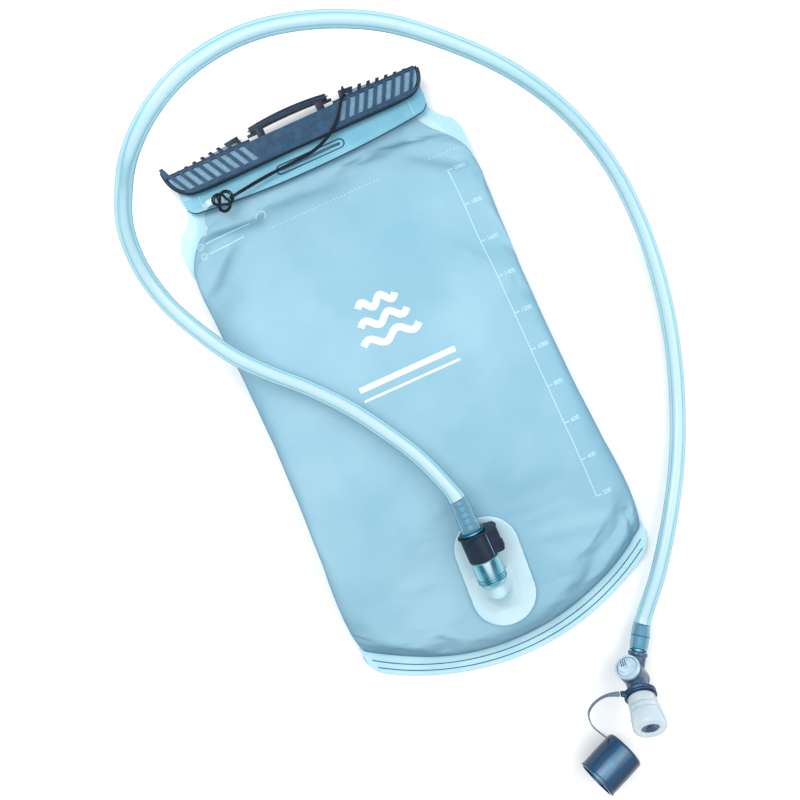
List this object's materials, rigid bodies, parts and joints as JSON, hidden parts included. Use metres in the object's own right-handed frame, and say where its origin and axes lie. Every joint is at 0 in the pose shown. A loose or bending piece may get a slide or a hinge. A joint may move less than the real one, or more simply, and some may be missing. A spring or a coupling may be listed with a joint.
{
  "type": "hydration bladder",
  "caption": "Flexible drinking-water reservoir with a slide-closed mouth, a quick-release drink tube and a capped bite valve with a shut-off knob.",
  "frame": {"origin": "on the ground under the middle of the reservoir, which lies on its back", "axes": "+X across the reservoir to the side the drink tube runs down, +Y from the bottom weld up to the slide closure, +Z out of the front face"},
  "size_m": [0.2886, 0.4738, 0.1307],
  "materials": {
    "film": "frosted translucent light blue thermoplastic film, soft sheen",
    "clear_weld": "clear blue-tinted plastic, glossy, with pressed weld lines",
    "slide_slate": "dark slate moulded plastic with a faint mottle",
    "navy_plastic": "dark navy moulded plastic, satin",
    "teal_plastic": "teal moulded plastic, glossy",
    "tube_clear": "clear cyan-tinted flexible tube, glossy",
    "silicone": "milky translucent silicone, satin",
    "knob_grey": "pale blue-grey moulded plastic",
    "cord": "thin round braided cord, dark",
    "seal": "black rubber O-ring",
    "spring_steel": "bright spring wire",
    "cap_blue": "dark blue plastic, glossy with a broad highlight"
  },
  "bodies": {
    "reservoir": {"bag_film": "film", "mouth_flap": "clear_weld", "seal_bead": "clear_weld", "cord_tab": "clear_weld", "tether_cord": "cord", "port_body": "clear_weld", "port_collar": "navy_plastic", "latch_spring": "spring_steel", "poppet_spring": "spring_steel"},
    "slide": {"slide_closure": "slide_slate"},
    "button": {"release_button": "navy_plastic"},
    "poppet": {"shutoff_poppet": "teal_plastic", "poppet_seal": "seal"},
    "tube": {"plug_body": "teal_plastic", "plug_seal": "seal", "drink_tube": "tube_clear", "tube_fitting": "teal_plastic", "fitting_seal": "seal"},
    "valve": {"valve_body": "slide_slate", "bite_sheath": "silicone", "bite_insert": "navy_plastic"},
    "knob": {"shutoff_knob": "knob_grey", "rotor_seal": "seal"},
    "ring": {"tether_ring": "cap_blue"},
    "strap": {"cap_strap": "cap_blue"},
    "cap": {"dust_cap": "cap_blue"}
  },
  "joints": [
    {"name": "slide_draw", "type": "slide", "parent": "reservoir", "child": "slide", "axis": [-1, 0, 0], "range_m": [0, 0.172], "deforming": ["tether_cord"]},
    {"name": "plug_release", "type": "slide", "parent": "reservoir", "child": "tube", "axis": [0, 0.9923, 0.124], "range_m": [0, 0.022]},
    {"name": "button_press", "type": "slide", "parent": "reservoir", "child": "button", "axis": [-1, 0, 0], "range_m": [0, 0.0012], "deforming": ["latch_spring"]},
    {"name": "poppet_travel", "type": "slide", "parent": "reservoir", "child": "poppet", "axis": [0, 0.9923, 0.124], "range_m": [0, 0.0026], "deforming": ["poppet_spring"]},
    {"name": "valve_swivel", "type": "hinge", "parent": "tube", "child": "valve", "pos_m": [0.0519, -0.2205, 0.016], "axis": [-0.5777, -0.7893, 0.2079], "continuous": true},
    {"name": "shutoff_turn", "type": "hinge", "parent": "valve", "child": "knob", "pos_m": [0.0519, -0.2205, 0.016], "axis": [-0.2261, 0.8001, 0.5557], "range_deg": [0, 90]},
    {"name": "tether_spin", "type": "hinge", "parent": "valve", "child": "ring", "pos_m": [0.04928, -0.22828, 0.02614], "axis": [-0.2007, -0.5964, 0.7771], "continuous": true},
    {"name": "strap_bend", "type": "hinge", "parent": "ring", "child": "strap", "pos_m": [0.03859, -0.2222, 0.02805], "axis": [0, 0, 1], "range_deg": [-25, 25]},
    {"name": "cap_tilt", "type": "hinge", "parent": "strap", "child": "cap", "pos_m": [0.02129, -0.2493, 0.01377], "axis": [0, 0, 1], "range_deg": [-15, 30]}
  ],
  "couplings": [
    {"joint": "poppet_travel", "follows": "plug_release", "ratio": 0.118}
  ]
}
